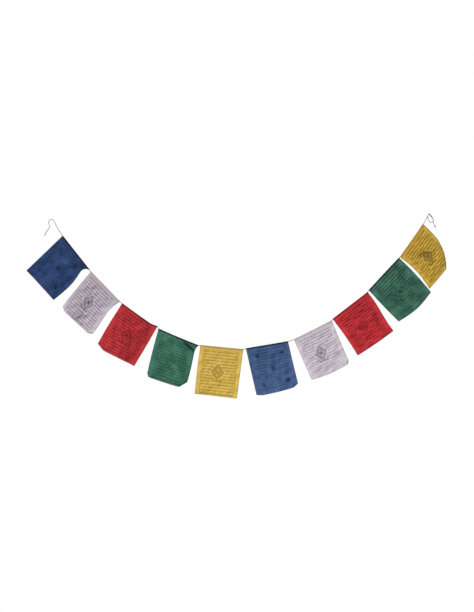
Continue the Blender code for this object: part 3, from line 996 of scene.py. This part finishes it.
def blockPrint(paint, x, y, look, seed):
    # Rows of small marks inside a thin border, broken by ringed diamonds round a rosette.
    shape = printShape
    midX, midY = shape["motifMiddle"]
    right, down = x - midX, y - midY
    box = ((shape["left"] + shape["right"]) / 2, (shape["right"] - shape["left"]) / 2,
           (shape["top"] + look["bottom"]) / 2, (look["bottom"] - shape["top"]) / 2)
    beyondSide = abs(x - box[0]) - box[1]
    outside = beyondSide.most(abs(y - box[2]) - box[3])
    border = paint.line(outside + shape["borderInside"], *shape["borderLine"]) * look["border"]

    halfX, halfY = shape["motifHalf"]
    diamond = abs(right) / halfX + abs(down) / halfY
    ringed = (diamond * shape["motifRings"] + 0.5) % 1 - 0.5
    rings = paint.line(ringed, *shape["ringLine"]) * (1 - paint.step(diamond, *shape["motifEdge"]))
    outline = paint.line(diamond - 1, *shape["outline"])
    footX, footHeight = shape["foot"]
    footDown = down - halfY - footHeight / 2
    foot = (1 - paint.step(abs(right) - footX, *shape["footEdge"])) * (
        1 - paint.step(abs(footDown) - footHeight / 2, *shape["footEdge"]))
    slits = paint.line(footDown, *shape["footSlit"])
    core = 1 - paint.step(diamond, *shape["motifCore"])
    motif = outline.most(rings * shape["ringInk"] * (1 - core)).most(
        foot * (shape["footInk"] - shape["slitInk"] * slits))
    centre = rosette(paint, right, down) * look["centre"]

    rowPhase = (y - shape["firstRow"]) / shape["rowPitch"] + 0.5
    row = paint.math("FLOOR", rowPhase)
    rowDown = row * shape["rowPitch"] + shape["firstRow"]
    wander = paint.noise(x / shape["markWander"], row * shape["rowChange"] + seed, detail=3.0)
    along = (x / shape["markPitch"] + wander * shape["markDrift"]) % 1
    cutX, cutY = shape["markCuts"]
    cut = paint.noise(x / cutX, y / cutY + seed, detail=1.0) - 0.5
    acrossDeep, downDeep = shape["cutDeep"]
    half, soft = shape["markCover"] / 2, shape["markSoft"]
    marks = 1 - paint.step(abs(along - 0.5) + cut * acrossDeep, half - soft, half + soft)
    edges = [shape["markHeight"] / 2 * share for share in shape["markEdge"]]
    within = abs(rowPhase % 1 - 0.5) + cut * downDeep
    band = 1 - paint.step(within, *edges)
    room = shape["motifGap"]
    beside = abs(right) / (halfX + room) + abs(rowDown - midY) / (halfY + room)
    besideFoot = (abs(right) - footX - room).most(abs(rowDown - midY - halfY - footHeight / 2)
                                                  - footHeight)
    clear = paint.step(beside, *shape["gapEdge"]).least(
        paint.step(besideFoot, *shape["footGapEdge"]))
    beyondRows = beyondSide.most(abs(rowDown - box[2]) - box[3])
    inBox = 1 - paint.step(beyondRows, *shape["rowsInside"])
    below = paint.step(rowDown, shape["firstRow"], look["bottom"])
    ink = look["rows"] + below * (look["lastRows"] - look["rows"])
    rows = band * marks * inBox * clear * ink

    printed = border.most(rows).most(motif * look["motif"]).most(centre)
    if look["corners"]:
        offX, offY = shape["cornerOff"]
        folded = (abs(right) - offX, abs(down) - offY)
        printed = printed.most(rosette(paint, *folded) * look["corners"])
    width = shape["wornWidth"]
    worn = paint.noise(x / width, y / width + seed, detail=4.0, roughness=0.65)
    least, more = shape["wornInk"]
    return (printed * (least + more * paint.step(worn, *shape["wornEdge"]))).least(1)


def clothPaint(name, look, seed, printShare):
    paint = Paint(name)
    weave = weaveShape
    width, height = (size * millimetres for size in clothShape["printed"])
    across, down = paint.chart()
    x, y = across * width, down * height
    offX, offY = look["offset"]
    printed = blockPrint(paint, x - offX, y - offY, look, seed) * printShare

    def patchy(width, detail=3.0):
        return paint.noise(x / width, y / width + seed, detail=detail)

    warp = paint.noise(x / weave["thread"], y / weave["slub"] + seed, detail=0.0)
    weft = paint.noise(x / weave["slub"], y / weave["thread"] + seed, detail=0.0)
    patches, mottle, fuzz = (patchy(weave[size]) for size in ("fade", "mottle", "fuzz"))
    mottled, patched = weave["uneven"]
    uneven = mottled * (mottle - 0.5) + patched * (patches - 0.5)
    tone = 1 + weave["slubs"] * (warp + weft - 1) * 2 + look["fading"] * uneven
    hemDepth = clothShape["hemDepth"] * millimetres
    # The doubled hem: painted shade on its tone, and a step in its relief.
    doubled = 1 - paint.step(y, hemDepth - weave["turnInEdge"], hemDepth)
    # Painted shade along the top of the hem, where the cloth wraps round the string.
    fromFold = abs(y + clothShape["tunnel"] * millimetres * math.pi / 2)
    tunnel = 1 - paint.step(fromFold, weave["tunnel"] * weave["tunnelShadeFrom"], weave["tunnel"])
    toEdge = (width / 2 - abs(x - width / 2)).least(height - y)
    edge = 1 - paint.step(toEdge, weave["edge"] * weave["edgeFrom"], weave["edge"])
    # Painted shade in the folds' hollows, read from the points.
    foldShade = paint.node("Attribute", {"attribute_name": "foldShade"}, {})[2]
    for part, light in ((doubled, weave["turnIn"]), (tunnel, look["hemTopShade"]),
                        (edge, look["edges"]), (foldShade, foldShadeShape["light"])):
        tone = tone * (1 - part * (1 - light))

    faded = paint.step(patches, *weave["fadeEdge"])
    dyed = paint.blend(faded, (*look["dye"], 1), (*look["faded"], 1))
    colour = paint.blend(printed, dyed, (*look["ink"], 1))

    wave = math.pi / weave["thread"]
    warpUp, weftUp = paint.math("SINE", x * wave), paint.math("SINE", y * wave)
    crumple = patchy(weave["crumple"], detail=2.0)
    share = weave["relief"]
    relief = (warpUp * weftUp * share["weave"] + (warp + weft) * share["slubs"]
              + fuzz * share["fuzz"] + crumple * share["crumple"] - doubled * share["turnIn"])
    return paint.finish(weave, colour, tone, fuzz, relief)


twineLook = {
    "colour": (0.062, 0.06, 0.056),
    "fibres": (900, 9, 36),  # to the metre along, how they slant, and how many go round
    "patches": (45, 0.5),  # to the metre along, and to a turn
    "tone": (0.72, 0.42, 0.18),  # its least, and what fibres and patches add
    "bump": 0.5,
    "height": 0.0001,
    "mirror": 0.2,
    "roughness": (0.8, 0.15),
}
threadLook = {
    "twist": 4200.0,
    "patches": 90.0,
    "tone": (0.7, 0.35, 0.25),
    "mirror": 0.5,
    "roughness": (0.7, 0.2),
}


def twinePaint(name, look):
    paint = Paint(name)
    along, around = paint.chart()
    perMetre, slant, perTurn = look["fibres"]
    fibres = paint.noise(along * perMetre + around * slant, around * perTurn, detail=3.0)
    patchesAlong, patchesAround = look["patches"]
    patches = paint.noise(along * patchesAlong, around * patchesAround, detail=3.0)
    least, fibrous, patchy = look["tone"]
    tone = least + fibrous * fibres + patchy * patches
    return paint.finish(look, look["colour"], tone, fibres, relief=fibres)


def threadPaint(name, colour, look):
    paint = Paint(name)
    spot = paint.node("TexCoord", {}, {})[3]
    twist, patches = (
        paint.node("TexNoise", {}, {"Vector": spot, "Scale": look[size], "Detail": detail})[0]
        for size, detail in (("twist", 1.0), ("patches", 2.0)))
    least, twisted, patchy = look["tone"]
    tone = least + twisted * twist + patchy * patches
    return paint.finish(look, colour, tone, twist)


threadColours = {"blue": (0.03, 0.05, 0.13), "white": (0.55, 0.5, 0.55),
                 "red": (0.36, 0.025, 0.03), "green": (0.03, 0.11, 0.07),
                 "yellow": (0.62, 0.42, 0.1)}

twine = twinePaint("twine", twineLook)
for piece in (string, knot):
    piece.data.materials.append(twine)
    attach(piece, "root")
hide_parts("string")

threads = {colour: threadPaint("thread_" + colour, value, threadLook)
           for colour, value in threadColours.items()}
for number, look in enumerate(rowsOf(lookColumns, lookRows)):
    name = look["name"]
    cloth, *trims = sewn[name]
    colour = name.split("_")[1]
    for side, printShare in (("cotton_", 1.0), ("cotton_back_", backShow)):
        paint = clothPaint(side + name, look, patternStep * number, printShare)
        cloth.data.materials.append(paint)
    for trim in trims:
        trim.data.materials.append(threads[colour])
    for piece in (cloth, *trims):
        "cloth_" + colour
        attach(piece, "root")
    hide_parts("flag_" + name)
print("materials are on")
